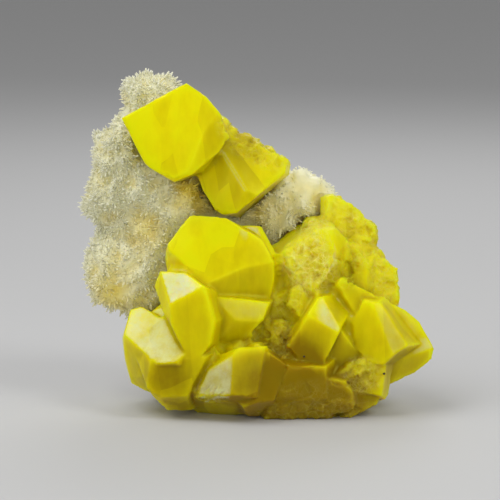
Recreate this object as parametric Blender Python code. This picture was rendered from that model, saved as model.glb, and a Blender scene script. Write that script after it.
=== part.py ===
"""Native sulfur on aragonite: a cabinet specimen resting on its flat broken foot.

Crystals are laid out in the specimen's display frame, in millimetres: right, up and towards
the viewer, seen from SIGHT away. Each crystal is a front face with more faces folded back
from it. The finished solids are leaned back by LEAN and set down with the foot on z = 0.
"""
import math
import random
from typing import NamedTuple

import bmesh
import bpy
from mathutils import Matrix, Vector, noise

MM = 0.001
LEAN = math.radians(10.0)      # the display frame leans back by this much
SIGHT = 694.0                  # mm, how far off the viewer stands
RISE = 38.8                    # mm, height of the display frame's centre over the foot
GAP = 0.3                      # mm, parting between the sulfur and the aragonite
SET_BACK = 2.79                # mm, the display frame's centre stands this far behind the origin
SET_LEFT = 1.39                # mm, and this far to its left

EDGE_ON = None                 # a fold of no stated angle: the face stands edge on to the viewer
GROUND_BLOCK = 300.0           # mm, side of the block that trims the foot flat

STEEP = 55.0                   # degrees, a flank folded more than this tapers again at the rear
REAR_TAPER = math.radians(42.0)
REAR_START = 0.5               # share of the crystal's depth where its rear begins to taper
UNDERSIDE = -0.3               # a flank that faces down more than this runs on to the foot
GIRDLE_SIDES = 8               # a crystal's hidden flanks end in a prism of this many sides
GIRDLE_SPARE = 1.0             # mm, the prism stands this far outside the farthest edge

DRUSE_VOXEL = 2.6              # mm, fineness of the aragonite's lobes before its spikes
DRUSE_KEEP = 0.375             # share of the lobes' faces that are kept
SPIKE = (0.9, 2.6)             # mm, shortest and tallest spike of the druse
FRONT_SPIKES = -12.0           # mm, behind this depth the rock is broken, with low lumps

SULFUR_YELLOW = (0.78, 0.62, 0.02, 1.0)
ARAGONITE_WHITE = (0.78, 0.72, 0.62, 1.0)


class Crystal(NamedTuple):
    """A crystal: its front face, its depth behind that face, and the faces folded from it."""

    front: tuple    # right, up, towards: the middle of the front face, mm
    facing: tuple   # degrees turned to the right, degrees tipped up
    depth: float    # mm
    folds: tuple    # (face it folds from, edge start, edge end, degrees folded back or EDGE_ON)


class Lump(NamedTuple):
    """A rough rounded mass: its middle, its half sizes and how rugged it is."""

    middle: tuple   # right, up, towards, mm
    half: tuple     # mm
    rugged: float   # share of the half size


UPPER_CRYSTALS = (
    Crystal((-19.0, 29.0, 14.0), (-8, 6), 15.0, (
        (0, (-11.8, 29.2), (-14.8, 40.0), 10),
        (0, (-11.8, 29.2), (-15.5, 19.5), 30),
        (0, (-32.2, 33.0), (-26.8, 22.5), 85),
        (0, (-26.8, 22.5), (-25.0, 20.5), 80),
        (0, (-25.0, 20.5), (-19.0, 18.0), 48),
        (0, (-19.0, 18.0), (-15.5, 19.5), 48),
        (0, (-32.2, 33.0), (-17.0, 41.2), 86),
        (0, (-17.0, 41.2), (-15.8, 41.8), 86),
        (1, (-15.8, 41.8), (-10.8, 38.2), 92),
        (1, (-10.8, 38.2), (-7.0, 33.8), 92),
        (1, (-7.0, 33.8), (-5.8, 29.5), 90),
        (2, (-5.8, 27.5), (-7.8, 24.5), 75),
        (2, (-7.8, 24.5), (-14.5, 18.8), 65),
        (6, (-14.5, 18.8), (-19.0, 17.0), 50),
        (5, (-25.0, 20.5), (-19.0, 17.0), 50),
    )),
    Crystal((-7.5, 15.5, 9.0), (-22, -6), 14.0, (
        (0, (-7.0, 24.5), (-1.0, 15.0), 40),
        (0, (-1.0, 15.0), (-3.2, 9.2), 22),
        (0, (-14.2, 18.8), (-11.8, 15.0), 70),
        (0, (-11.8, 15.0), (-10.5, 11.2), 70),
        (0, (-10.5, 11.2), (-7.0, 9.0), 80),
        (0, (-7.0, 9.0), (-3.2, 9.2), 80),
        (2, (-3.2, 9.2), (3.0, 14.5), 75),
        (1, (3.0, 14.5), (8.8, 19.5), 72),
        (1, (8.8, 19.5), (9.5, 22.5), 72),
        (1, (9.5, 22.5), (3.0, 25.6), 76),
        (1, (3.0, 25.6), (-6.0, 29.0), 76),
    )),
)
UPPER_LUMPS = (
    # the broken ridge along the top of the right-hand crystal
    Lump((-8.0, 30.3, 4.0), (3.6, 3.4, 5.0), 0.1),
    Lump((-6.0, 28.1, 4.4), (3.6, 3.4, 5.0), 0.1),
    Lump((-2.5, 26.1, 4.2), (3.6, 3.3, 5.0), 0.1),
    Lump((0.2, 24.6, 3.6), (3.6, 3.4, 5.0), 0.1),
    Lump((3.2, 22.8, 3.0), (3.6, 3.4, 5.0), 0.1),
    Lump((6.4, 20.6, 2.4), (3.4, 3.0, 4.6), 0.1),
)

LOWER_CRYSTALS = (
    # the large central crystal, the one at its foot and the one across its left
    Crystal((-7.0, 0.0, 15.0), (0, 14), 17.0, (
        (0, (-17.0, -1.5), (-9.0, 7.0), 9),
        (0, (0.0, 6.0), (-1.2, -4.2), 10),
        (0, (-11.2, -8.6), (-1.2, -4.2), 38),
        (0, (-20.5, 1.8), (-19.5, -5.0), 80),
        (1, (-20.5, 1.8), (-15.0, 8.8), 88),
        (1, (-15.0, 8.8), (-6.2, 8.2), 90),
        (0, (-6.2, 8.2), (3.2, 2.5), 76),
        (2, (3.2, 2.5), (6.2, -3.0), 80),
        (2, (6.2, -3.0), (6.2, -7.0), 82),
        (3, (6.2, -7.0), (5.0, -13.0), 70),
        (3, (-11.2, -8.6), (-10.0, -11.5), 60),
        (3, (-10.0, -11.5), (5.0, -13.0), 60),
    )),
    Crystal((0.6, 4.6, 10.5), (-10, 20), 10.0, (
        (0, (-2.2, 6.1), (1.8, 6.1), 80),
        (0, (1.8, 6.1), (3.4, 2.5), 35),
        (2, (2.6, 6.8), (4.8, 2.5), 75),
        (0, (-2.5, 6.0), (-2.5, 0.0), 80),
        (0, (-2.5, -1.0), (5.0, -1.0), 80),
    )),
    Crystal((-0.5, -15.0, 16.0), (6, 6), 13.0, (
        (0, (-3.8, -17.5), (3.0, -18.0), 32),
        (0, (-10.0, -10.8), (-3.8, -17.5), 28),
        (0, (-6.8, -11.8), (5.0, -13.0), 78),
        (0, (5.0, -13.0), (3.2, -18.0), 78),
        (1, (3.0, -18.0), (-2.5, -23.5), 70),
        (2, (-2.5, -23.5), (-9.8, -24.5), 70),
        (2, (-9.8, -24.5), (-10.0, -10.8), 70),
    )),
    Crystal((-15.0, -18.5, 19.5), (-8, -8), 16.0, (
        (0, (-20.0, -13.5), (-11.2, -9.0), 42),
        (0, (-20.0, -13.5), (-19.5, -18.8), 50),
        (0, (-19.5, -18.8), (-16.0, -26.5), 70),
        (0, (-16.0, -26.5), (-12.5, -26.8), 75),
        (0, (-12.5, -26.8), (-10.0, -23.8), 75),
        (0, (-10.0, -23.8), (-8.8, -18.0), 75),
        (0, (-8.8, -18.0), (-11.2, -9.2), 75),
        (1, (-22.5, -5.2), (-16.2, -5.5), 70),
        (1, (-16.2, -5.5), (-11.8, -8.8), 75),
        (1, (-22.5, -5.2), (-20.0, -13.5), 45),
        (10, (-22.5, -5.2), (-23.8, -9.0), 60),
        (10, (-23.8, -9.0), (-22.5, -13.5), 60),
    )),
    # the row along the lower left
    Crystal((-25.5, -20.5, 13.0), (-14, 30), 26.0, (
        (0, (-29.8, -14.5), (-32.2, -23.2), EDGE_ON),
        (0, (-29.8, -14.8), (-27.0, -14.0), 75),
        (0, (-27.0, -14.0), (-19.5, -18.8), 75),
        (0, (-32.2, -23.2), (-23.8, -28.0), 46),
        (4, (-31.2, -27.2), (-25.0, -29.5), 30),
        (5, (-30.5, -33.0), (-25.8, -35.5), 70),
        (4, (-32.2, -23.2), (-31.2, -27.2), EDGE_ON),
        (5, (-31.2, -27.2), (-30.5, -33.0), EDGE_ON),
        (0, (-19.5, -18.8), (-15.5, -25.5), 70),
        (5, (-25.0, -29.5), (-25.8, -35.5), 30),
        (0, (-23.8, -28.0), (-21.0, -30.5), 60),
        (0, (-21.0, -30.5), (-15.5, -25.5), 70),
    )),
    Crystal((-19.0, -31.5, 17.0), (-4, -14), 15.0, (
        (0, (-24.5, -27.5), (-11.0, -26.8), 75),
        (0, (-11.0, -27.0), (-15.0, -35.0), 60),
        (0, (-25.0, -29.0), (-25.8, -34.5), 50),
        (0, (-22.0, -36.8), (-15.5, -36.5), 44),
        (0, (-25.8, -34.5), (-22.0, -36.8), 40),
        (5, (-25.8, -34.5), (-21.5, -40.0), 60),
    )),
    Crystal((-1.5, -31.0, 20.0), (6, -2), 17.0, (
        (0, (-4.2, -26.2), (-4.8, -36.5), 30),
        (0, (-3.5, -24.5), (3.8, -24.2), 80),
        (0, (3.8, -24.2), (1.5, -38.0), 60),
        (0, (-4.8, -36.5), (1.5, -38.0), 66),
        (1, (-4.5, -26.2), (-10.5, -30.0), 48),
        (1, (-10.5, -30.0), (-14.5, -38.2), 70),
        (1, (-14.5, -38.2), (-4.8, -36.2), 62),
        (5, (-11.0, -27.2), (-3.5, -24.5), 60),
    )),
    Crystal((5.5, -33.0, 18.0), (18, -4), 15.0, (
        (0, (4.0, -25.0), (1.8, -38.0), 40),
        (0, (8.8, -28.8), (6.2, -37.5), 60),
        (0, (4.0, -25.0), (9.0, -28.5), 78),
        (0, (1.8, -38.0), (6.2, -37.5), 56),
    )),
    Crystal((14.0, -33.0, 17.0), (3, -12), 18.0, (
        (0, (7.0, -36.8), (19.0, -37.0), 24),
        (0, (10.0, -29.0), (19.0, -29.2), 78),
        (0, (19.0, -29.2), (19.2, -37.0), 60),
        (0, (10.0, -29.0), (6.2, -37.5), 55),
        (1, (6.2, -37.5), (4.0, -42.0), 60),
        (1, (19.2, -37.0), (20.0, -42.5), 50),
    )),
    Crystal((22.0, -35.0, 15.5), (8, -14), 16.0, (
        (0, (19.5, -32.0), (23.8, -33.0), 75),
        (0, (23.8, -33.0), (25.5, -35.5), 70),
        (0, (25.5, -35.5), (25.5, -39.0), 50),
        (0, (18.0, -38.0), (25.5, -38.5), 26),
        (0, (19.2, -31.8), (18.5, -38.0), 50),
    )),
    Crystal((29.0, -37.5, 11.5), (16, -20), 15.0, (
        (0, (25.0, -35.2), (32.5, -36.2), 70),
        (0, (32.5, -36.2), (32.0, -38.5), 70),
        (0, (32.0, -38.5), (25.0, -42.0), 66),
        (0, (25.0, -35.2), (24.5, -42.0), 50),
    )),
    # the intergrown mass on the right, from the top down
    Crystal((23.0, 8.5, 4.0), (4, 10), 12.0, (
        (0, (19.2, 13.5), (21.8, 14.0), 80),
        (0, (21.8, 14.0), (23.8, 12.5), 82),
        (0, (23.8, 12.5), (26.8, 11.2), 82),
        (0, (26.8, 11.2), (29.2, 7.0), 86),
        (0, (29.2, 7.0), (26.0, 3.5), 45),
        (0, (26.0, 3.5), (21.0, 3.8), 45),
        (0, (21.0, 3.8), (18.8, 7.0), 50),
        (0, (18.8, 7.0), (19.2, 13.5), 75),
    )),
    Crystal((15.0, -2.5, 12.0), (-6, 6), 12.0, (
        (0, (12.0, -1.5), (19.0, 3.0), 14),
        (0, (8.8, -0.5), (12.5, 2.5), 50),
        (1, (12.5, 2.5), (17.0, 5.5), 50),
        (1, (17.0, 5.5), (20.2, 5.0), 55),
        (0, (20.2, 5.0), (21.0, 0.0), 50),
        (0, (21.0, 0.0), (18.8, -7.5), 45),
        (0, (18.8, -7.5), (16.0, -10.0), 50),
        (0, (16.0, -10.0), (11.5, -6.8), 40),
        (0, (11.5, -6.8), (8.8, -0.5), 45),
    )),
    Crystal((24.0, -5.0, 8.0), (2, 2), 13.0, (
        (0, (20.8, 1.2), (26.0, 0.5), 50),
        (0, (26.0, 0.5), (29.5, -3.0), 40),
        (0, (29.5, -3.0), (29.0, -10.0), 45),
        (0, (29.0, -10.0), (17.5, -11.0), 60),
        (0, (17.5, -11.0), (20.8, -4.0), 50),
        (0, (20.8, -4.0), (20.8, 1.2), 50),
    )),
    Crystal((33.0, -6.5, 5.5), (16, 4), 13.0, (
        (0, (28.5, -0.5), (32.5, -1.2), 82),
        (0, (32.5, -1.2), (36.8, -4.8), 80),
        (0, (36.8, -4.8), (37.3, -12.8), 76),
        (0, (37.5, -12.8), (29.5, -12.5), 60),
        (0, (29.5, -12.5), (28.0, -4.0), 45),
    )),
    Crystal((7.8, -13.5, 9.5), (10, 2), 11.0, (
        (0, (5.0, -11.5), (10.0, -9.5), 66),
        (0, (10.0, -9.5), (10.5, -16.5), 66),
        (0, (10.5, -16.5), (7.5, -18.2), 66),
        (0, (7.5, -18.2), (4.5, -16.8), 66),
        (0, (4.5, -16.8), (5.0, -11.5), 66),
    )),
    Crystal((11.3, -12.5, 12.5), (-14, 6), 12.0, (
        (0, (12.4, -8.8), (12.2, -16.5), 32),
        (0, (10.5, -9.8), (12.4, -8.8), 75),
        (1, (12.4, -8.8), (14.4, -12.0), 70),
        (1, (14.4, -12.0), (12.2, -17.0), 70),
        (0, (12.2, -16.5), (9.8, -13.5), 60),
        (0, (9.8, -13.5), (10.5, -9.8), 65),
    )),
    Crystal((15.5, -23.5, 16.5), (-10, -10), 15.0, (
        (0, (14.5, -16.2), (22.0, -20.8), 36),
        (1, (18.8, -13.0), (22.8, -19.8), 36),
        (0, (9.5, -24.2), (14.5, -16.2), 66),
        (0, (9.5, -24.2), (12.5, -28.0), 72),
        (0, (12.5, -28.0), (19.0, -29.2), 76),
        (0, (22.0, -20.8), (19.0, -29.2), 72),
        (1, (17.0, -11.8), (14.5, -16.2), 75),
        (1, (17.0, -11.8), (22.5, -10.8), 70),
        (2, (22.5, -10.8), (25.5, -14.2), 70),
        (2, (25.5, -14.2), (22.8, -19.8), 70),
    )),
    Crystal((23.0, -26.0, 13.0), (10, -12), 12.0, (
        (0, (22.8, -20.0), (27.8, -27.0), 65),
        (0, (27.8, -27.0), (25.0, -29.5), 60),
        (0, (25.0, -29.5), (19.5, -32.0), 60),
        (0, (19.5, -32.0), (19.2, -29.0), 65),
        (0, (19.2, -29.0), (22.8, -20.0), 65),
    )),
    Crystal((29.5, -21.0, 13.5), (-16, 0), 14.0, (
        (0, (31.0, -14.2), (35.8, -26.5), 36),
        (1, (32.8, -13.5), (39.5, -24.0), 42),
        (0, (29.5, -12.8), (32.5, -13.4), 75),
        (0, (25.5, -18.0), (28.5, -12.5), 70),
        (0, (25.5, -18.0), (26.5, -25.0), 70),
        (0, (26.5, -25.0), (30.0, -28.2), 70),
        (0, (30.0, -28.2), (34.0, -29.0), 72),
        (1, (35.5, -26.5), (39.2, -24.0), 70),
        (0, (34.0, -29.0), (35.5, -26.5), 60),
    )),
    Crystal((38.5, -19.0, 8.0), (20, 4), 16.0, (
        (0, (33.8, -29.0), (45.8, -24.5), 32),
        (0, (33.8, -12.5), (38.8, -15.0), 82),
        (0, (38.8, -15.0), (42.5, -18.0), 78),
        (0, (42.5, -18.0), (46.0, -24.5), 74),
        (1, (46.0, -25.0), (45.0, -29.0), 76),
        (1, (45.0, -29.0), (41.0, -30.8), 70),
        (1, (41.0, -30.8), (33.5, -36.8), 70),
        (1, (33.5, -36.8), (33.8, -29.0), 60),
    )),
    Crystal((28.0, -31.5, 13.5), (4, -10), 13.0, (
        (0, (20.0, -31.8), (25.5, -29.0), 60),
        (0, (25.5, -29.0), (30.0, -27.5), 60),
        (0, (30.0, -27.5), (34.0, -29.0), 60),
        (0, (34.0, -29.0), (32.8, -36.5), 60),
        (0, (32.8, -36.5), (25.5, -35.2), 65),
        (0, (25.5, -35.2), (20.0, -31.8), 65),
    )),
)
LOWER_LUMPS = (
    # rough sulfur that fills the joints between the front crystals
    Lump((-10.2, -32.0, 8.5), (4.4, 7.0, 7.0), 0.1),
    Lump((-4.0, -24.6, 8.5), (7.0, 3.4, 6.5), 0.1),
    Lump((8.6, -32.0, 9.0), (4.6, 6.0, 6.5), 0.1),
    Lump((23.0, -22.0, 5.5), (5.0, 6.5, 6.0), 0.1),
    Lump((16.5, -12.6, 6.5), (4.4, 4.0, 5.5), 0.1),
    Lump((7.4, -4.6, 2.5), (4.0, 7.0, 5.5), 0.1),
    # broken masses between and behind the crystals
    Lump((6.0, -21.5, 5.0), (9.0, 7.0, 8.0), 0.14),
    Lump((16.5, 5.4, 1.0), (4.6, 3.6, 5.0), 0.26),
    Lump((27.6, 2.6, 0.5), (4.2, 5.4, 6.0), 0.26),
    Lump((27.6, -30.2, 11.0), (3.4, 2.8, 4.0), 0.3),
    Lump((22.0, -16.0, -1.0), (16.0, 14.0, 10.0), 0.08),
    Lump((-14.0, -22.0, 2.0), (13.0, 12.0, 9.0), 0.08),
)

DRUSE_LOBES = (
    Lump((-24.2, 36.4, -5.0), (7.6, 7.2, 8.0), 0.05),
    Lump((-28.6, 39.6, -5.0), (3.6, 4.4, 6.0), 0.05),
    Lump((-30.5, 23.5, -5.0), (8.2, 8.4, 9.0), 0.05),
    Lump((-32.5, 13.0, -5.0), (8.6, 8.0, 9.0), 0.05),
    Lump((-22.0, 12.0, -4.0), (12.0, 14.0, 10.0), 0.05),
    Lump((-33.8, -5.0, -5.0), (7.6, 9.0, 9.0), 0.05),
    Lump((-25.0, -5.0, -5.0), (10.5, 13.0, 10.0), 0.05),
    Lump((-10.0, 19.0, -8.0), (12.0, 10.0, 9.0), 0.05),
    Lump((8.3, 11.0, -6.0), (14.0, 9.6, 9.0), 0.05),
    Lump((18.0, -4.0, -10.0), (13.0, 13.0, 9.0), 0.06),
    Lump((-2.0, -6.0, -11.0), (26.0, 18.0, 11.0), 0.08),
    Lump((3.0, -26.0, -9.0), (33.0, 15.0, 13.0), 0.08),
)
BREAKS = (
    # (a point of the broken back, the way it faces), in the display frame
    ((0.0, 0.0, -17.0), (0.06, 0.04, -1.0)),
    ((0.0, -26.0, -18.0), (-0.12, -0.34, -1.0)),
    ((-26.0, 30.0, -11.5), (-0.34, 0.3, -1.0)),
    ((-34.0, -4.0, -12.0), (-0.7, -0.2, -1.0)),
    ((22.0, 4.0, -14.5), (0.5, 0.36, -1.0)),
    ((30.0, -24.0, -14.0), (0.8, -0.2, -1.0)),
)


def sight_point(right, up, towards):
    """The place that shows at right, up to the viewer, standing out by towards."""
    near = 1.0 - towards / SIGHT
    return Vector((right * near, up * near, towards))


def meet(plane, spot):
    """Where the viewer's line through spot meets the plane (point, normal)."""
    eye = Vector((0.0, 0.0, SIGHT))
    line = Vector((spot[0], spot[1], 0.0)) - eye
    reach = (plane[0] - eye).dot(plane[1]) / line.dot(plane[1])
    return eye + line * reach


def fold(plane, start, end, degrees, middle):
    """The plane hinged back from another one about an edge, away from the middle.

    One with no degrees stands edge on to the viewer.
    """
    first = meet(plane, start)
    last = meet(plane, end)
    along = (last - first).normalized()
    away = (first + last) / 2 - middle
    if degrees is EDGE_ON:
        normal = along.cross(first - Vector((0.0, 0.0, SIGHT))).normalized()
        return first, normal * math.copysign(1.0, normal.dot(away))
    away -= away.dot(plane[1]) * plane[1]
    away -= away.dot(along) * along
    turn = math.radians(degrees)
    normal = plane[1] * math.cos(turn) + away.normalized() * math.sin(turn)
    return first, normal.normalized()


def rear_face(flank, front_normal, depth):
    """The plane that a steep flank turns into behind the middle of the crystal."""
    side = flank[1] - flank[1].dot(front_normal) * front_normal
    normal = side.normalized() * math.cos(REAR_TAPER) - front_normal * math.sin(REAR_TAPER)
    return flank[0] - front_normal * depth * REAR_START, normal


def crystal_planes(crystal):
    """The face planes of a crystal: front, folds, rear faces, back, then the bounding girdle."""
    turn, tip = (math.radians(angle) for angle in crystal.facing)
    normal = Vector((math.sin(turn) * math.cos(tip), math.sin(tip), math.cos(turn) * math.cos(tip)))
    middle = sight_point(*crystal.front)
    planes = [(middle, normal)]
    reach = 0.0
    rear = []
    for parent, start, end, degrees in crystal.folds:
        planes.append(fold(planes[parent], start, end, degrees, middle))
        reach = max(reach, math.dist(start, crystal.front[:2]), math.dist(end, crystal.front[:2]))
        steep = degrees is EDGE_ON or degrees > STEEP
        if steep and planes[-1][1].y > UNDERSIDE:
            rear.append(rear_face(planes[-1], normal, crystal.depth))
    planes += rear
    planes.append((middle - normal * crystal.depth, -normal))
    side = normal.orthogonal().normalized()
    for step in range(GIRDLE_SIDES):
        way = Matrix.Rotation(math.tau * step / GIRDLE_SIDES, 3, normal) @ side
        planes.append((middle + way * (reach + GIRDLE_SPARE), way))
    return planes


def cut_off(mesh, point, normal):
    """Cuts away what lies beyond the plane and closes the cut."""
    everything = mesh.verts[:] + mesh.edges[:] + mesh.faces[:]
    cut = bmesh.ops.bisect_plane(mesh, geom=everything, plane_co=point, plane_no=normal,
                                 clear_outer=True)
    rim = [item for item in cut["geom_cut"] if isinstance(item, bmesh.types.BMEdge)]
    bmesh.ops.holes_fill(mesh, edges=rim)


def cut_to_planes(planes, swell):
    """A block cut to the inside of the planes, each moved out by swell."""
    mesh = bmesh.new()
    bmesh.ops.create_cube(mesh, size=90.0, matrix=Matrix.Translation(planes[0][0]))
    for point, normal in planes:
        cut_off(mesh, point + normal * swell, normal)
    bmesh.ops.recalc_face_normals(mesh, faces=mesh.faces)
    return mesh


def lump_mesh(lump, swell, fineness=2):
    """A rounded mass, rugged by smooth noise along its own radius."""
    mesh = bmesh.new()
    bmesh.ops.create_icosphere(mesh, subdivisions=fineness, radius=1.0)
    middle = sight_point(*lump.middle)
    half = Vector(lump.half) + Vector((swell, swell, swell))
    for vert in mesh.verts:
        grain = noise.noise(vert.co * 2.3 + middle * 0.7)
        size = 1.0 + lump.rugged * grain * 2.0
        vert.co = middle + Vector(a * b for a, b in zip(vert.co * size, half))
    return mesh


def as_object(name, mesh):
    """A scene object that holds the bmesh."""
    data = bpy.data.meshes.new(name)
    mesh.to_mesh(data)
    mesh.free()
    made = bpy.data.objects.new(name, data)
    bpy.context.scene.collection.objects.link(made)
    return made


def apply_modifiers(made):
    """The object's modifiers become its mesh."""
    graph = bpy.context.evaluated_depsgraph_get()
    data = bpy.data.meshes.new_from_object(made.evaluated_get(graph))
    made.modifiers.clear()
    made.data = data


def boolean(made, others, operation, crossing=False):
    """Unites others with an object, or cuts them from it, and removes them.

    crossing is True where the object's own faces cross each other, which the exact solver
    sorts out. Near-parallel crystal faces need the manifold solver.
    """
    for other in others:
        step = made.modifiers.new("join", "BOOLEAN")
        step.operation = operation
        step.solver = "EXACT" if crossing else "MANIFOLD"
        step.use_self = crossing
        step.object = other
        apply_modifiers(made)
        bpy.data.objects.remove(other)
    return made


def sulfur_group(name, crystals, lumps, swell):
    """Crystals and rough masses grown into one solid."""
    solids = [as_object(name, cut_to_planes(crystal_planes(item), swell)) for item in crystals]
    solids += [as_object(name, lump_mesh(item, swell)) for item in lumps]
    return boolean(solids[0], solids[1:], "UNION")


def display_to_world():
    """Leans the display frame back and stands it over the ground, still in millimetres."""
    lean = Matrix.Rotation(math.radians(90.0) - LEAN, 4, "X")
    return Matrix.Translation((-SET_LEFT, SET_BACK, RISE)) @ lean


def trim_foot(made, crossing=False):
    """Cuts a solid off flat at the ground."""
    ground = bmesh.new()
    below = Matrix.Translation((0.0, 0.0, -GROUND_BLOCK / 2))
    bmesh.ops.create_cube(ground, size=GROUND_BLOCK, matrix=display_to_world().inverted() @ below)
    boolean(made, [as_object("ground", ground)], "DIFFERENCE", crossing)


def keep_largest(made):
    """Drops the crumbs beside the main body and the pockets shut up inside it."""
    mesh = bmesh.new()
    mesh.from_mesh(made.data)
    unseen = set(mesh.verts)
    bodies = []
    while unseen:
        body = [unseen.pop()]
        for vert in body:
            near = {edge.other_vert(vert) for edge in vert.link_edges} & unseen
            unseen -= near
            body.extend(near)
        bodies.append(body)
    bodies.sort(key=len)
    bmesh.ops.delete(mesh, geom=[vert for body in bodies[:-1] for vert in body], context="VERTS")
    mesh.to_mesh(made.data)
    mesh.free()


def raise_spikes(mesh):
    """Draws each face of the lobes out to a point: tall in front, low on the broken back."""
    chance = random.Random(5)
    mesh.faces.ensure_lookup_table()
    raised = bmesh.ops.poke(mesh, faces=mesh.faces[:])
    for tip in raised["verts"]:
        width = min(edge.calc_length() for edge in tip.link_edges)
        tall = chance.uniform(*SPIKE)
        if tip.co.z < FRONT_SPIKES:
            tall *= 0.3
        tip.co += tip.normal * min(tall, width * 1.6)


def aragonite():
    """The druse: lobes fused together, then covered in short stout spikes."""
    lobes = bmesh.new()
    for lobe in DRUSE_LOBES:
        piece = lump_mesh(lobe, 0.0, 3)
        for point, way in BREAKS:
            cut_off(piece, Vector(point), Vector(way).normalized())
        data = bpy.data.meshes.new("lobe")
        piece.to_mesh(data)
        piece.free()
        lobes.from_mesh(data)
    made = as_object("aragonite_matrix", lobes)
    fuse = made.modifiers.new("fuse", "REMESH")
    fuse.mode = "VOXEL"
    fuse.voxel_size = DRUSE_VOXEL
    thin = made.modifiers.new("thin", "DECIMATE")
    thin.ratio = DRUSE_KEEP
    apply_modifiers(made)
    mesh = bmesh.new()
    mesh.from_mesh(made.data)
    bmesh.ops.triangulate(mesh, faces=mesh.faces)
    raise_spikes(mesh)
    mesh.to_mesh(made.data)
    mesh.free()
    trim_foot(made, crossing=True)
    return made


def set_down(made):
    """Leans the display frame back and stands the solid on z = 0, in metres."""
    made.data.transform(Matrix.Scale(MM, 4) @ display_to_world())


def finish(made, name, colour, roughness):
    """Names a solid and gives it its material."""
    made.name = name
    made.data.name = name
    made.data.materials.clear()
    material = bpy.data.materials.new(name)
    material.use_nodes = True
    shader = material.node_tree.nodes["Principled BSDF"]
    shader.inputs["Base Color"].default_value = colour
    shader.inputs["Roughness"].default_value = roughness
    shader.inputs["Metallic"].default_value = 0.0
    made.data.materials.append(material)


def build():
    """Builds the three solids of the specimen."""
    for old in list(bpy.data.objects):
        bpy.data.objects.remove(old)
    upper = sulfur_group("upper_sulfur_pair", UPPER_CRYSTALS, UPPER_LUMPS, 0.0)
    lower = sulfur_group("sulfur_cluster", LOWER_CRYSTALS, LOWER_LUMPS, 0.0)
    trim_foot(lower)
    keep_largest(lower)
    room = [sulfur_group("room", UPPER_CRYSTALS, UPPER_LUMPS, GAP),
            sulfur_group("room", LOWER_CRYSTALS, LOWER_LUMPS, GAP)]
    rock = boolean(aragonite(), room, "DIFFERENCE")
    keep_largest(rock)
    for made in (upper, lower, rock):
        set_down(made)
    finish(upper, "upper_sulfur_pair", SULFUR_YELLOW, 0.15)
    finish(lower, "sulfur_cluster", SULFUR_YELLOW, 0.15)
    finish(rock, "aragonite_matrix", ARAGONITE_WHITE, 0.6)


build()
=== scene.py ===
"""Native sulfur on an aragonite druse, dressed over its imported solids.

The crystals start from merged copies of the solids, get worn edges, broken zones and a
translucent yellow finish. The druse is a rock core under thousands of fine needles.
Places on the specimen are given in its display frame, in millimetres: right, up and towards.
"""
import logging
import math
from dataclasses import dataclass
from enum import Enum

import bmesh
import bpy
import numpy as np
from mathutils import Matrix, Vector, noise
from mathutils.bvhtree import BVHTree


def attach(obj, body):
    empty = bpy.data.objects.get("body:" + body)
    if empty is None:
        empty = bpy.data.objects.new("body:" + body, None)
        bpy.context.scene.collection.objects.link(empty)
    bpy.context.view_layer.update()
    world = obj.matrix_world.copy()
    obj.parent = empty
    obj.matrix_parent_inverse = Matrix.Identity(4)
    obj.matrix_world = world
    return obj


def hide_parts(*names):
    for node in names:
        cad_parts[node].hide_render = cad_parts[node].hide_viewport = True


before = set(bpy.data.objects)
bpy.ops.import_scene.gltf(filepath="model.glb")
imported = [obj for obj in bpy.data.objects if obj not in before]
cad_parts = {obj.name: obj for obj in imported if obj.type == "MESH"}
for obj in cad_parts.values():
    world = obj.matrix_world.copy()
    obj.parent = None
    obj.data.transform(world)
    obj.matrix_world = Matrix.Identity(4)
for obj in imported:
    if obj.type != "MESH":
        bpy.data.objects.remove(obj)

LOG = logging.getLogger("sulfur_specimen")

MM = 0.001
MERGE = 1e-6            # m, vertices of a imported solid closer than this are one
HEAL_VOXEL = 0.40       # mm, fineness of the mesh that fills the clefts
HEAL_SINK = 0.50        # mm, how far that mesh stays under the crystals' own faces
PLATE_SEED = 7          # for the tilts of the broken plates
PLATE_DRAW = 5.3        # how far apart two plates' tilts are drawn, to one plate's width
PLATE_STEP = 0.5        # how high plates stand over one another, to their width
PLATE_TILT = 0.9        # how steeply they tilt
BODY = "root"

Triple = tuple[float, float, float]
Mark = tuple[Triple, float, float]      # a place in display mm, its reach in mm, its strength


@dataclass(frozen=True)
class DisplayFrame:
    """The frame in which the specimen is described, and how it stands in the world."""

    lean: float = math.radians(10.0)
    sight: float = 694.0    # mm, how far off the viewer stands
    rise: float = 38.8      # mm, height of the frame's centre over the foot
    set_back: float = 2.79  # mm
    set_left: float = 1.39  # mm

    def to_world(self) -> Matrix:
        """The matrix from display millimetres to world metres."""
        lean = Matrix.Rotation(math.radians(90.0) - self.lean, 4, "X")
        stand = Matrix.Translation((-self.set_left, self.set_back, self.rise))
        return Matrix.Scale(MM, 4) @ stand @ lean

    def seen(self, right: float, up: float, towards: float) -> Vector:
        """The world place that shows at right, up to the viewer.

        Args:
            right: millimetres to the right of the middle, as seen.
            up: millimetres above the middle, as seen.
            towards: millimetres that the place stands out towards the viewer.

        Returns:
            The place in world metres.
        """
        near = 1.0 - towards / self.sight
        return self.to_world() @ Vector((right * near, up * near, towards))

    def way(self, right: float, up: float, towards: float) -> Vector:
        """A world direction from one given in the display frame."""
        return (self.to_world().to_3x3() @ Vector((right, up, towards))).normalized()


DISPLAY = DisplayFrame()


class Break(Enum):
    """How the sulfur has broken in a zone; the last kind is no break but a painted glint."""

    PLATES = "small tilted plates"
    CRINKLED = "fine ridges"
    SHELLY = "curved steps"
    # Not broken: a flat face with faint relief whose colour carries a painted reflection of the
    # lamps.
    GLINT = "a flat face with a dull, frosted skin"


def held(value: float, low: float = 0.0, high: float = 1.0) -> float:
    """A value kept between two limits."""
    return min(high, max(low, value))


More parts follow.
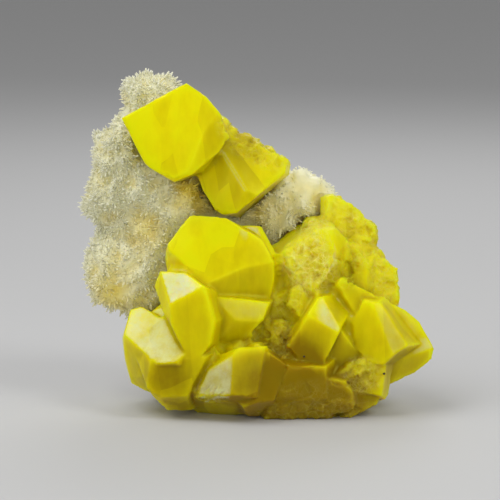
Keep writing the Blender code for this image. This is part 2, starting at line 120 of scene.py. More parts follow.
def plate_height(grain: Vector) -> float:
    """The relief of tilted flat plates.

    Args:
        grain: a place, in widths of a plate.

    Returns:
        The height there of the plate in whose cell it lies, in the same unit.
    """
    near = noise.voronoi(grain)[1][0]
    tilt = noise.noise_vector(near * PLATE_DRAW)
    return tilt.x * PLATE_STEP + (grain - near).dot(tilt) * PLATE_TILT


def marked(spot: Vector, marks: tuple[Mark, ...]) -> float:
    """How strongly marks act together at a place, each most at its middle.

    Args:
        spot: the place in display millimetres.
        marks: the marks.

    Returns:
        A share from 0 to 1.
    """
    total = 0.0
    for middle, reach, amount in marks:
        total += amount * math.exp(-((spot - Vector(middle)).length / reach) ** 2)
    return held(total)


@dataclass(frozen=True)
class BrokenZone:
    """A part of the sulfur whose faces are broken and rough, not grown; in the last kind, faces
    that look one way bear a painted reflection of the lamps.
    """

    middle: Triple      # right, up, towards, mm
    half: Triple        # mm
    relief: float       # mm, how far the surface moves in and out
    grain: float        # mm, size of the plates or ridges
    kind: Break
    pale: float = 0.6   # how much of the surface is whitened by fine cracks; in a glint zone, how strong its painted reflection is
    facing: Triple | None = None    # only faces that look this way are part of it; for a painted glint, the way of a face that mirrors a lamp
    reach: float = 1.15     # where the zone ends, as a share of its half size
    fade: float = 0.35      # over how much of it the zone dies away
    turned: float = 0.975   # a face starts to belong when it looks this much the facing's way
    turned_fade: float = 0.015      # and belongs wholly when it does by this much more
    small_plates: float = 2.6       # how many times finer the second set of plates is
    small_ridges: float = 2.3       # and the second set of ridges
    shells: float = 4.0     # how many curved steps a swelling has

    def weight(self, spot: Vector, normal: Vector) -> float:
        """How much the zone acts at a place.

        Args:
            spot: the place in display millimetres.
            normal: the way the surface faces there.

        Returns:
            1 inside the zone, 0 outside it.
        """
        away = Vector((spot[i] - self.middle[i]) / self.half[i] for i in range(3)).length
        share = held((self.reach - away) / self.fade)
        if self.facing and share:
            looks = normal.dot(Vector(self.facing).normalized())
            share *= held((looks - self.turned) / self.turned_fade)
        return share

    def lift(self, spot: Vector) -> float:
        """How far breakage moves the surface.

        Args:
            spot: the place in display millimetres.

        Returns:
            The way outwards in millimetres.
        """
        grain = spot / self.grain
        if self.kind is Break.PLATES:
            height = plate_height(grain) + 0.5 * plate_height(grain * self.small_plates)
        elif self.kind is Break.CRINKLED:
            ridge = 1.0 - 2.0 * abs(noise.noise(grain))
            fine = 1.0 - 2.0 * abs(noise.noise(grain * self.small_ridges
                                               + Vector((3.1, 0.7, 5.9))))
            height = ridge * 0.5 + fine * 0.3 + plate_height(grain * 0.6) - 0.4
        elif self.kind is Break.GLINT:
            height = noise.noise(grain)
        else:
            swell = noise.noise(grain * 0.5) * self.shells
            height = swell % 1.0 * 0.8 - 0.4
        return height * self.relief


@dataclass(frozen=True)
class PaleEdge:
    """A thin pale line on the front of the sulfur, where light leaves a crystal's edge."""

    path: tuple[tuple[float, float], ...]   # right and up, mm
    width: float = 0.40     # mm, from the middle of the line to where it has faded
    pale: float = 0.7
    front: float = 0.1      # only faces that look towards the viewer by this much bear it
    crisp: float = 1.6      # how steeply the line fades: at 1 it does so from its middle

    def weight(self, spot: Vector, normal: Vector) -> float:
        """How pale the line makes a place.

        Args:
            spot: the place in display millimetres.
            normal: the way the surface faces there.

        Returns:
            A share from 0 to 1.
        """
        if normal.z < self.front or not self.near(spot):
            return 0.0
        away = min(self.distance(spot.xy, Vector(start), Vector(end))
                   for start, end in zip(self.path, self.path[1:]))
        return self.pale * held(self.crisp - self.crisp * away / self.width)

    def near(self, spot: Vector) -> bool:
        """Whether a place lies in the box round the line."""
        return all(min(point[i] for point in self.path) - self.width < spot[i]
                   < max(point[i] for point in self.path) + self.width for i in range(2))

    def distance(self, spot: Vector, start: Vector, end: Vector) -> float:
        """How far a place is from one straight part of the line.

        Args:
            spot: the place, right and up.
            start: where the part starts.
            end: where it ends.

        Returns:
            The distance in millimetres.
        """
        run = end - start
        share = held((spot - start).dot(run) / run.length_squared)
        return (spot - start - run * share).length


def merged_copy(node: str) -> bmesh.types.BMesh:
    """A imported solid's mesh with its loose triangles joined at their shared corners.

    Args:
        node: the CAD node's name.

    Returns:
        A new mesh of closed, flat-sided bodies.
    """
    mesh = bmesh.new()
    mesh.from_mesh(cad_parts[node].data)
    bmesh.ops.remove_doubles(mesh, verts=mesh.verts, dist=MERGE)
    return mesh


def place_object(name: str, data: bpy.types.ID) -> bpy.types.Object:
    """Puts a new object into the scene.

    Args:
        name: the object's name.
        data: its mesh, light or camera.

    Returns:
        The new object.
    """
    made = bpy.data.objects.new(name, data)
    bpy.context.scene.collection.objects.link(made)
    return made


def add_object(name: str, mesh: bmesh.types.BMesh) -> bpy.types.Object:
    """Makes a scene object from a mesh, and frees the mesh.

    Args:
        name: the object's name.
        mesh: the mesh, which can't be used again.

    Returns:
        The new object.
    """
    data = bpy.data.meshes.new(name)
    mesh.to_mesh(data)
    mesh.free()
    return place_object(name, data)


def smooth(mesh: bmesh.types.BMesh, rounds: int) -> None:
    """Draws a mesh's vertices towards their neighbours, and works its normals out anew.

    Args:
        mesh: the mesh.
        rounds: how often.
    """
    for _ in range(rounds):
        bmesh.ops.smooth_vert(mesh, verts=mesh.verts, factor=0.5, use_axis_x=True,
                              use_axis_y=True, use_axis_z=True)
    mesh.normal_update()


def keep_above_ground(mesh: bmesh.types.BMesh) -> None:
    """Brings what reaches below the ground back up to it."""
    for vert in mesh.verts:
        vert.co.z = max(vert.co.z, 0.0)


def bake_modifiers(made: bpy.types.Object) -> None:
    """Turns an object's modifiers into its mesh.

    Args:
        made: the object.
    """
    graph = bpy.context.evaluated_depsgraph_get()
    data = bpy.data.meshes.new_from_object(made.evaluated_get(graph))
    made.modifiers.clear()
    old = made.data
    made.data = data
    bpy.data.meshes.remove(old)


def fuse_mesh(made: bpy.types.Object, voxel: float) -> None:
    """Meshes an object anew as one skin of even squares.

    Args:
        made: the object.
        voxel: the squares' width in millimetres.
    """
    fuse = made.modifiers.new("fuse", "REMESH")
    fuse.mode = "VOXEL"
    fuse.voxel_size = voxel * MM
    bake_modifiers(made)


def report(made: bpy.types.Object) -> None:
    """Logs a finished piece with its size."""
    made.data.calc_loop_triangles()
    LOG.info("%s: %d triangles", made.name, len(made.data.loop_triangles))


@dataclass(frozen=True)
class Pattern:
    """A noise pattern that is stretched into a mask."""

    size: float     # how many swells a metre holds
    detail: float   # rounds of finer noise
    rough: float    # how strong each round is
    low: float      # the noise value at which the mask is 0
    high: float     # and at which it is 1


class Nodes:
    """A short way to place and link the nodes of one tree."""

    def __init__(self, tree: bpy.types.NodeTree) -> None:
        """Starts on a tree."""
        self.tree = tree

    def add(self, kind: str, **settings: object) -> bpy.types.Node:
        """Adds a node and sets its properties.

        Args:
            kind: the node's type name.
            settings: properties by name.

        Returns:
            The new node.
        """
        node = self.tree.nodes.new(kind)
        for name, value in settings.items():
            setattr(node, name, value)
        return node

    def put(self, socket: bpy.types.NodeSocket, value: object) -> None:
        """Gives an input what it reads.

        Args:
            socket: the input.
            value: an output to link to it, or the input's own value; None leaves it alone.
        """
        if isinstance(value, bpy.types.NodeSocket):
            self.tree.links.new(value, socket)
        elif value is not None:
            socket.default_value = value

    def feed(self, node: bpy.types.Node, **values: object) -> bpy.types.Node:
        """Puts values to a node's inputs by name.

        Args:
            node: the node.
            values: outputs or plain values; an underscore in a name stands for a space.

        Returns:
            The node.
        """
        for name, value in values.items():
            self.put(node.inputs[name.replace("_", " ")], value)
        return node

    def work(self, node: bpy.types.Node, values: tuple[object, ...]) -> bpy.types.NodeSocket:
        """Puts values to a node's first inputs in order.

        Args:
            node: the node.
            values: outputs or plain values.

        Returns:
            The node's first output.
        """
        for socket, value in zip(node.inputs, values):
            self.put(socket, value)
        return node.outputs[0]

    def math(self, operation: str, *values: object, clamp: bool = False) -> bpy.types.NodeSocket:
        """A Math node's result."""
        return self.work(self.add("ShaderNodeMath", operation=operation, use_clamp=clamp), values)

    def vector(self, operation: str, *values: object) -> bpy.types.NodeSocket:
        """A Vector Math node's result."""
        return self.work(self.add("ShaderNodeVectorMath", operation=operation), values)

    def attribute(self, name: str) -> bpy.types.NodeSocket:
        """The value of one of the mesh's own attributes."""
        return self.add("ShaderNodeAttribute", attribute_name=name).outputs["Fac"]

    def ramp(self, value: object, low: float, high: float) -> bpy.types.NodeSocket:
        """A value stretched so that low becomes 0 and high becomes 1, kept between them."""
        node = self.add("ShaderNodeMapRange", clamp=True)
        return self.feed(node, Value=value, From_Min=low, From_Max=high).outputs["Result"]

    def mix(self, factor: object, first: object, second: object) -> bpy.types.NodeSocket:
        """One colour mixed into another.

        Args:
            factor: the second colour's share.
            first: the colour at a share of 0.
            second: the colour at a share of 1.

        Returns:
            The mixed colour.
        """
        node = self.add("ShaderNodeMix", data_type="RGBA")
        for index, value in ((0, factor), (6, first), (7, second)):
            self.put(node.inputs[index], value)
        return node.outputs[2]

    def noise(self, where: object, scale: object, detail: float = 3.0,
              rough: float = 0.55) -> bpy.types.NodeSocket:
        """A noise value.

        Args:
            where: the place.
            scale: how many swells a metre holds.
            detail: rounds of finer noise added to them.
            rough: how strong each round is.

        Returns:
            The value, mostly from 0.3 to 0.7.
        """
        node = self.add("ShaderNodeTexNoise")
        self.feed(node, Vector=where, Scale=scale, Detail=detail, Roughness=rough)
        return node.outputs["Fac"]

    def mask(self, where: object, pattern: Pattern) -> bpy.types.NodeSocket:
        """A pattern's mask at a place."""
        value = self.noise(where, pattern.size, pattern.detail, pattern.rough)
        return self.ramp(value, pattern.low, pattern.high)

    def bump(self, height: object, strength: float, distance: float) -> bpy.types.NodeSocket:
        """A normal bent by a height.

        Args:
            height: the height, 0 to 1.
            strength: how much of the bend is taken.
            distance: how high 1 is, in metres.

        Returns:
            The normal.
        """
        node = self.add("ShaderNodeBump")
        self.put(node.inputs["Height"], height)
        set_plain(node, Strength=strength, Distance=distance)
        return node.outputs["Normal"]


def shader_group(name: str, ins: dict[str, tuple[str, object]],
                 outs: dict[str, str]) -> tuple[bpy.types.NodeTree, Nodes, dict, dict]:
    """Starts a shader node group with named sockets.

    Args:
        name: the group's name.
        ins: input name to (socket type, default value).
        outs: output name to socket type.

    Returns:
        The tree, its node helper, its input sockets and its output sockets by name.
    """
    tree = bpy.data.node_groups.new(name, "ShaderNodeTree")
    for label, (kind, default) in ins.items():
        socket = tree.interface.new_socket(label, in_out="INPUT", socket_type=kind)
        if default is not None:
            socket.default_value = default
    for label, kind in outs.items():
        tree.interface.new_socket(label, in_out="OUTPUT", socket_type=kind)
    nodes = Nodes(tree)
    enter = nodes.add("NodeGroupInput")
    leave = nodes.add("NodeGroupOutput")
    return (tree, nodes, {label: enter.outputs[label] for label in ins},
            {label: leave.inputs[label] for label in outs})


@dataclass(frozen=True)
class GrowthRelief:
    """A crystal's fine relief, and the veils, planes and cracks in it.

    A size here is a texture's scale, roughly how many of its forms a metre holds, and a relief is
    a share of the height.
    """

    turn: Triple = (0.3, 0.9, 0.45)     # radians, how the growth lies
    stretch: float = 0.3                # how much slower the patterns change along it
    streak_size: float = 700.0
    streak: float = 0.30
    ripple_size: float = 260.0
    ripple: float = 0.9
    grain_size: float = 4200.0
    grain: float = 0.07
    veil: Pattern = Pattern(190.0, 5.0, 0.6, 0.34, 0.68)
    plane_size: float = 150.0
    warp_size: float = 330.0
    warp: float = 0.0022                # m, how far the cracks wander
    webs: tuple[tuple[float, float], ...] = ((330.0, 0.07), (800.0, 0.09))  # size, line's width
    web_patch: float = 0.45             # size of the places with cracks, to the web's own
    web_edge: tuple[float, float] = (0.40, 0.62)

    def make(self) -> bpy.types.NodeTree:
        """Builds the shader group.

        Returns:
            A group that puts out the height and the three masks for a place.
        """
        tree, n, enter, leave = shader_group(
            "growth_relief",
            {"Vector": ("NodeSocketVector", None),
             "Step Size": ("NodeSocketFloat", self.streak_size),
             "Grain Size": ("NodeSocketFloat", self.grain_size)},
            dict.fromkeys(("Height", "Veil", "Plane", "Vein"), "NodeSocketFloat"))
        place = enter["Vector"]
        along = n.feed(n.add("ShaderNodeMapping"), Vector=place, Rotation=self.turn,
                       Scale=(1.0, 1.0, self.stretch)).outputs[0]
        streak = n.noise(along, enter["Step Size"], 3.0, 0.6)
        ripple = n.noise(place, self.ripple_size, 2.0, 0.5)
        grain = n.noise(place, enter["Grain Size"], 2.0, 0.6)
        height = n.math("ADD", n.math("MULTIPLY", streak, self.streak),
                        n.math("MULTIPLY", ripple, self.ripple))
        n.put(leave["Height"], n.math("ADD", height, n.math("MULTIPLY", grain, self.grain)))
        n.put(leave["Veil"], n.mask(along, self.veil))
        cells = n.feed(n.add("ShaderNodeTexVoronoi"), Vector=along, Scale=self.plane_size)
        apart = n.add("ShaderNodeSeparateColor")
        n.put(apart.inputs[0], cells.outputs["Color"])
        n.put(leave["Plane"], apart.outputs[0])
        warp = n.feed(n.add("ShaderNodeTexNoise"), Vector=place, Scale=self.warp_size, Detail=2.0)
        bent = n.vector("MULTIPLY_ADD", warp.outputs["Color"], (self.warp,) * 3, place)
        n.put(leave["Vein"], n.math("MAXIMUM", *(self.crack_web(n, bent, size, width)
                                                 for size, width in self.webs)))
        return tree

    def crack_web(self, n: Nodes, where: bpy.types.NodeSocket, size: float,
                  width: float) -> bpy.types.NodeSocket:
        """Thin lines that part a surface into cells, strong in some places only.

        Args:
            n: the group's nodes.
            where: the place.
            size: the cells' scale.
            width: the lines' width as a share of a cell's.

        Returns:
            A mask, 1 on a line.
        """
        cells = n.feed(n.add("ShaderNodeTexVoronoi", feature="DISTANCE_TO_EDGE"), Vector=where,
                       Scale=size)
        line = n.math("SUBTRACT", 1.0, n.ramp(cells.outputs["Distance"], 0.0, width))
        patches = n.noise(where, size * self.web_patch, 2.0)
        return n.math("MULTIPLY", line, n.ramp(patches, *self.web_edge))


def mineral_tone() -> bpy.types.NodeTree:
    """Builds the shader group that mixes two colours by a given share and by noise.

    Returns:
        A group that puts out the mixed colour.
    """
    tree, n, enter, leave = shader_group(
        "mineral_tone",
        {"Vector": ("NodeSocketVector", None), "Scale": ("NodeSocketFloat", 120.0),
         "Bright": ("NodeSocketColor", (1.0, 1.0, 1.0, 1.0)),
         "Deep": ("NodeSocketColor", (0.5, 0.5, 0.5, 1.0)),
         "Share": ("NodeSocketFloat", 0.0), "Cloud": ("NodeSocketFloat", 0.3)},
        {"Color": "NodeSocketColor"})
    cloud = n.math("SUBTRACT", n.noise(enter["Vector"], enter["Scale"], 4.0, 0.6), 0.5)
    share = n.math("ADD", enter["Share"], n.math("MULTIPLY", cloud, enter["Cloud"]), clamp=True)
    n.put(leave["Color"], n.mix(share, enter["Bright"], enter["Deep"]))
    return tree


def start_material(name: str) -> tuple[bpy.types.Material, Nodes, bpy.types.Node]:
    """A new material with its Principled shader.

    Args:
        name: the material's name.

    Returns:
        The material, its node helper and its shader node.
    """
    material = bpy.data.materials.new(name)
    material.use_nodes = True
    return material, Nodes(material.node_tree), material.node_tree.nodes["Principled BSDF"]


def set_plain(shader: bpy.types.Node, **values: object) -> None:
    """Sets a node's own sockets.

    Args:
        shader: the node.
        values: plain values by name; an underscore in a name stands for a space.
    """
    for name, value in values.items():
        shader.inputs[name.replace("_", " ")].default_value = value


@dataclass(frozen=True)
class SulfurFinish:
    """Translucent native sulfur: lemon where it is clear, olive where painted shade deepens it,
    with painted glints and painted light along its edges.
    """

    name: str
    clear: Triple = (0.98, 0.88, 0.0)
    deep: Triple = (0.32, 0.20, 0.0)
    glint_tone: Triple = (0.79, 0.84, 0.63)  # colour of the painted glint on faces that mirror a lamp
    crack: Triple = (1.0, 0.91, 0.26)  # broken faces
    inside: Triple = (1.0, 0.92, 0.10)  # what the sulfur lets through
    depth: float = 22.0     # 1/m, how fast it takes up the rest
    glow: float = 0.007     # m, how far light travels inside
    glow_reach: Triple = (1.0, 0.72, 0.06)  # the share of that way which each colour goes
    clarity: float = 0.20   # share of the light that passes straight into the crystal
    bending: float = 1.55   # index of refraction; the real 1.96 would mirror too much
    shine: Triple = (1.0, 0.97, 0.12)
    gloss: float = 0.29
    gloss_veil: float = 0.08    # how much rougher it is where a veil meets the face
    gloss_broken: float = 0.14  # and where it is broken
    bump: float = 0.6
    bump_height: float = 0.00025    # m
    ground: float = 0.10    # how deep the tone is everywhere
    plane: float = 0.26     # how much deeper it is in the planes
    veil: float = 0.20      # how much lighter it is in the veils
    painted_edge_light: float = 1.2  # painted edge light and crease shade: how much lighter it is along an edge, and deeper in a crease
    cloud: float = 0.28     # how uneven it is
    deep_cloud: float = 0.55    # how much more uneven it is where it is deep
    powder: float = 0.45    # how much of the cracks' colour lies between the cracks
    powder_pattern: Pattern = Pattern(520.0, 5.0, 0.68, 0.36, 0.66)
    glint_least: float = 0.22      # how strong a face's painted glint is at least
    glint_veil: float = 0.40     # and how much more in the veils
    glint_smear: float = 0.42    # and in smears
    smear_pattern: Pattern = Pattern(420.0, 6.0, 0.7, 0.38, 0.62)

    def make(self, tone: bpy.types.NodeTree, relief: bpy.types.NodeTree) -> bpy.types.Material:
        """Builds the material.

        Args:
            tone: the colour group.
            relief: the growth relief group.

        Returns:
            The material, which reads the attributes depth and broken, the painted edge light and
            crease shade, and the painted glint.
        """
        material, n, shader = start_material(self.name)
        place = n.add("ShaderNodeTexCoord").outputs["Object"]
        depth, broken = n.attribute("depth"), n.attribute("broken")
        fine = n.feed(n.add("ShaderNodeGroup", node_tree=relief), Vector=place).outputs
        # The depth attribute deepens the tone: painted shade.
        inner = n.math("MULTIPLY_ADD", fine["Plane"], self.plane, depth)
        inner = n.math("MULTIPLY_ADD", fine["Veil"], -self.veil, inner)
        # Painted light and shade: lighter along edges, deeper in creases.
        inner = n.math("MULTIPLY_ADD", n.attribute("edge_light_crease_shade"), -self.painted_edge_light,
                       n.math("ADD", inner, self.ground))
        body = n.feed(n.add("ShaderNodeGroup", node_tree=tone), Vector=place,
                      Bright=(*self.clear, 1.0), Deep=(*self.deep, 1.0), Share=inner,
                      Cloud=n.math("MULTIPLY_ADD", depth, self.deep_cloud, self.cloud))
        powder = n.mask(place, self.powder_pattern)
        cracked = n.math("MULTIPLY_ADD", powder, self.powder, fine["Vein"])
        white = n.math("MULTIPLY", broken, cracked, clamp=True)
        smear = n.mask(place, self.smear_pattern)
        # How strongly a face shows its painted reflection of the lamps, mottled by veils and
        # smears.
        dull = n.math("MULTIPLY_ADD", fine["Veil"], self.glint_veil, self.glint_least)
        dull = n.math("MULTIPLY_ADD", smear, self.glint_smear, dull)
        colour = n.mix(white, body.outputs["Color"], (*self.crack, 1.0))
        # The painted glint draws the colour towards its own pale tone.
        sheened = n.math("MULTIPLY", n.attribute("painted_glint"), dull)
        n.put(shader.inputs["Base Color"], n.mix(sheened, colour, (*self.glint_tone, 1.0)))
        rough = n.math("ADD", self.gloss, n.math("MULTIPLY", fine["Veil"], self.gloss_veil))
        rough = n.math("ADD", rough, n.math("MULTIPLY", broken, self.gloss_broken))
        n.put(shader.inputs["Roughness"], rough)
        n.put(shader.inputs["Normal"], n.bump(fine["Height"], self.bump, self.bump_height))
        set_plain(shader, IOR=self.bending, Specular_Tint=(*self.shine, 1.0),
                  Subsurface_Weight=1.0, Subsurface_Scale=self.glow,
                  Subsurface_Radius=self.glow_reach, Subsurface_Anisotropy=0.0,
                  Transmission_Weight=self.clarity)
        soak = n.add("ShaderNodeVolumeAbsorption")
        set_plain(soak, Color=(*self.inside, 1.0), Density=self.depth)
        leave = material.node_tree.nodes["Material Output"]
        n.put(leave.inputs["Volume"], soak.outputs["Volume"])
        return material


@dataclass(frozen=True)
class AragoniteFinish:
    """Frosty cream aragonite, with painted shade that darkens it towards the needles' roots and
    painted shade tinted by the sulfur's yellow light in the hollows.
    """

    name: str
    # The needles' tips are paler than their roots: painted shade between the needles.
    tip: Triple = (0.85, 0.84, 0.61)
    root: Triple = (0.78, 0.735, 0.43)
    # Colour of the hollows: painted shade tinted by the sulfur's yellow light.
    hollow: Triple = (0.96, 0.78, 0.10)
    rock: Triple = (0.46, 0.39, 0.28)   # the bare limestone of the back
    vein: Triple = (0.70, 0.64, 0.50)   # what the limestone is mottled with
    tone_size: float = 160.0    # how many swells of tone a metre holds
    tone_cloud: float = 0.5     # how uneven the tone is
    mottle: Pattern = Pattern(140.0, 6.0, 0.65, 0.36, 0.64)
    speck_size: float = 2600.0  # how many specks a metre holds
    lit_shade: float = 0.95   # how much of the hollows' colour, painted sulfur-lit shade, the strongest mark takes
    glow: float = 0.008     # m, how far light travels inside
    glow_share: float = 0.45
    glow_reach: Triple = (1.0, 0.9, 0.7)    # the share of that way which each colour goes
    bending: float = 1.45   # index of refraction
    gloss: float = 0.45
    gloss_change: float = 0.2   # how much rougher it is in some specks
    gloss_rock: float = 0.25    # and on the bare rock
    bump: float = 0.2
    bump_height: float = 0.0001     # m

    def make(self, tone: bpy.types.NodeTree) -> bpy.types.Material:
        """Builds the material.

        Args:
            tone: the colour group.

        Returns:
            The material, which reads the attributes tip and rock, and the one that holds the
            hollows' painted shade.
        """
        material, n, shader = start_material(self.name)
        place = n.add("ShaderNodeTexCoord").outputs["Object"]
        bare = n.attribute("rock")
        # Darker towards the needles' feet: painted shade between the needles.
        body = n.feed(n.add("ShaderNodeGroup", node_tree=tone), Vector=place,
                      Bright=(*self.tip, 1.0), Deep=(*self.root, 1.0), Scale=self.tone_size,
                      Cloud=self.tone_cloud, Share=n.math("SUBTRACT", 1.0, n.attribute("tip")))
        # Painted shade tinted by the sulfur's yellow light, in the hollows.
        lit_shade = n.math("MULTIPLY", n.attribute("sulfur_lit_shade"), self.lit_shade)
        colour = n.mix(lit_shade, body.outputs["Color"], (*self.hollow, 1.0))
        stone = n.mix(n.mask(place, self.mottle), (*self.rock, 1.0), (*self.vein, 1.0))
        n.put(shader.inputs["Base Color"], n.mix(bare, colour, stone))
        speck = n.noise(place, self.speck_size, 2.0, 0.5)
        dull = n.math("MULTIPLY_ADD", bare, self.gloss_rock, self.gloss - self.gloss_change / 2)
        n.put(shader.inputs["Roughness"],
              n.math("MULTIPLY_ADD", speck, self.gloss_change, dull))
        n.put(shader.inputs["Normal"], n.bump(speck, self.bump, self.bump_height))
        set_plain(shader, IOR=self.bending, Subsurface_Weight=self.glow_share,
                  Subsurface_Scale=self.glow, Subsurface_Radius=self.glow_reach)
        return material


@dataclass(frozen=True)
class SulfurPiece:
    """Sulfur crystals grown together: a finely meshed, worn and broken copy of their solid."""

    node: str
    name: str
    voxel: float        # mm, fineness of the mesh
    zones: tuple[BrokenZone, ...]
    shade_marks: tuple[Mark, ...]    # where painted shade deepens the tone
    triangles: int              # no more than this are left of the fine mesh
    lines: tuple[PaleEdge, ...] = ()
    wear: int = 1               # rounds of smoothing that dull the edges
    swell: float = 0.20         # mm, slow unevenness of the grown faces
    swell_size: float = 4.5     # mm
    chip: float = 0.40          # mm, nicks along the edges
    chip_size: float = 1.3      # mm
    chip_bend: float = math.radians(25.0)   # an edge as blunt as this is nicked by chip
    flat_bend: float = math.radians(16.0)   # no painted glint is left where the surface bends so
    under: float = 0.27         # painted shade: how much deeper the tone is where a face looks down
    blur: int = 26              # rounds of spreading that carry the painted edge light and crease shade inwards
    ridge_light_pit_shade: float = 0.28      # painted highlight and shade: how much paler a broken face's ridges are, and deeper its pits
    heal: float = 1.5           # mm, clefts narrower than twice this are grown shut

    def healed(self) -> bpy.types.Object:
        """Closes the solid's narrow clefts.

        Returns:
            The closed solid, a trace smaller everywhere else.
        """
        made = add_object(self.name + "_healed", merged_copy(self.node))
        for shift in (self.heal, -self.heal - HEAL_SINK):
            fuse_mesh(made, HEAL_VOXEL)
            move = made.modifiers.new("move", "DISPLACE")
            move.mid_level = 0.0
            move.strength = shift * MM
            bake_modifiers(made)
        return made

    def fine_mesh(self) -> bpy.types.Object:
        """Meshes the solid evenly, so that its edges can wear and its faces break.

        Returns:
            The new object, with its clefts closed.
        """
        healed = self.healed()
        mesh = merged_copy(self.node)
        mesh.from_mesh(healed.data)
        bpy.data.objects.remove(healed)
        made = add_object(self.name, mesh)
        fuse_mesh(made, self.voxel)
        return made

    def thin_out(self, made: bpy.types.Object) -> None:
        """Takes triangles out where the fine mesh is flat.

        Args:
            made: the shaped piece.
        """
        made.data.calc_loop_triangles()
        thin = made.modifiers.new("thin", "DECIMATE")
        thin.ratio = min(1.0, self.triangles / len(made.data.loop_triangles))
        bake_modifiers(made)

    def shape(self, made: bpy.types.Object) -> None:
        """Wears the edges, breaks the zones and notes how broken each place is, its painted glint,
        how deep its tone is with painted shade, and its painted edge light and crease shade.

        Args:
            made: the evenly meshed piece.
        """
        back = DISPLAY.to_world().inverted()
        turn = back.to_3x3().normalized()
        mesh = bmesh.new()
        mesh.from_mesh(made.data)
        smooth(mesh, self.wear)
        broken = mesh.verts.layers.float.new("broken")
        painted_glint = mesh.verts.layers.float.new("painted_glint")
        depth = mesh.verts.layers.float.new("depth")
        moves, bends = [], []
        for vert in mesh.verts:
            spot = back @ vert.co
            bend = self.bend(vert)
            looks = turn @ vert.normal
            whitened, glint_share, lift = self.breakage(spot, looks)
            # Painted highlight: a broken face's ridges are paler than its pits.
            vert[broken] = whitened * held(0.9 + 2.0 * self.ridge_light_pit_shade * lift, 0.4, 1.4)
            # Painted shade in the tone: at the marks, on faces that look down, and in pits.
            vert[depth] = (marked(spot, self.shade_marks) + self.under * max(0.0, -looks.y)
                           - self.ridge_light_pit_shade * min(0.0, lift))
            lift += self.swell * noise.noise(spot / self.swell_size)
            edge = min(3.0, abs(bend) / self.chip_bend)
            lift -= self.chip * max(0.0, noise.noise(spot / self.chip_size) - 0.1) * edge
            # Painted reflection of the lamps on faces that mirror them, and along the pale edge
            # lines; none where the surface bends.
            vert[painted_glint] = glint_share * max(0.0, 1.0 - abs(bend) / self.flat_bend)
            moves.append(vert.normal * lift * MM)
            bends.append(bend)
        for vert, move in zip(mesh.verts, moves):
            vert.co += move
        keep_above_ground(mesh)
        mesh.to_mesh(made.data)
        mesh.free()
        # Painted edge light and crease shade: the spread bend, over 0 on edges and under 0 in
        # creases.
        edge_light_crease_shade = made.data.attributes.new("edge_light_crease_shade", "FLOAT", "POINT")
        edge_light_crease_shade.data.foreach_set("value", self.spread(made.data, np.array(bends)))

    def spread(self, data: bpy.types.Mesh, values: np.ndarray) -> np.ndarray:
        """Spreads values out over a mesh, from each vertex to its neighbours and on.

        Args:
            data: the mesh.
            values: one number for each vertex.

        Returns:
            The smoothed numbers.
        """
        pairs = np.empty(len(data.edges) * 2, dtype=np.int32)
        data.edges.foreach_get("vertices", pairs)
        first, second = pairs[::2], pairs[1::2]
        count = len(values)
        links = np.maximum(np.bincount(pairs, minlength=count), 1)
        for _ in range(self.blur):
            total = (np.bincount(first, values[second], count)
                     + np.bincount(second, values[first], count))
            values = 0.4 * values + 0.6 * total / links
        return values

    def breakage(self, spot: Vector, looks: Vector) -> tuple[float, float, float]:
        """What the zones do at a place.

        Args:
            spot: the place in display millimetres.
            looks: the way the surface faces there.

        Returns:
            How whitened by breakage it is, how much painted glint it bears, and how far it moves
            out, mm.
        """
        whitened = glint_share = lift = 0.0
        for zone in self.zones:
            weight = zone.weight(spot, looks)
            if not weight:
                continue
            lift += weight * zone.lift(spot)
            if zone.kind is Break.GLINT:
                glint_share = max(glint_share, weight * zone.pale)
            else:
                whitened = max(whitened, weight * zone.pale)
        for line in self.lines:
            glint_share = max(glint_share, line.weight(spot, looks))
        return whitened, glint_share, lift

    def bend(self, vert: bmesh.types.BMVert) -> float:
        """How sharply the surface bends at a vertex: over 0 on an edge, under 0 in a crease."""
        return max((edge.calc_face_angle_signed(0.0) for edge in vert.link_edges), key=abs,
                   default=0.0)

    def build(self, finish: bpy.types.Material) -> bpy.types.Object:
        """Makes the piece.

        Args:
            finish: the sulfur's material.

        Returns:
            The finished object, which stands for its CAD node.
        """
        made = self.fine_mesh()
        self.shape(made)
        self.thin_out(made)
        made.data.materials.clear()
        made.data.materials.append(finish)
        made.data.shade_smooth()
        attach(made, BODY)
        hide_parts(self.node)
        report(made)
        return made


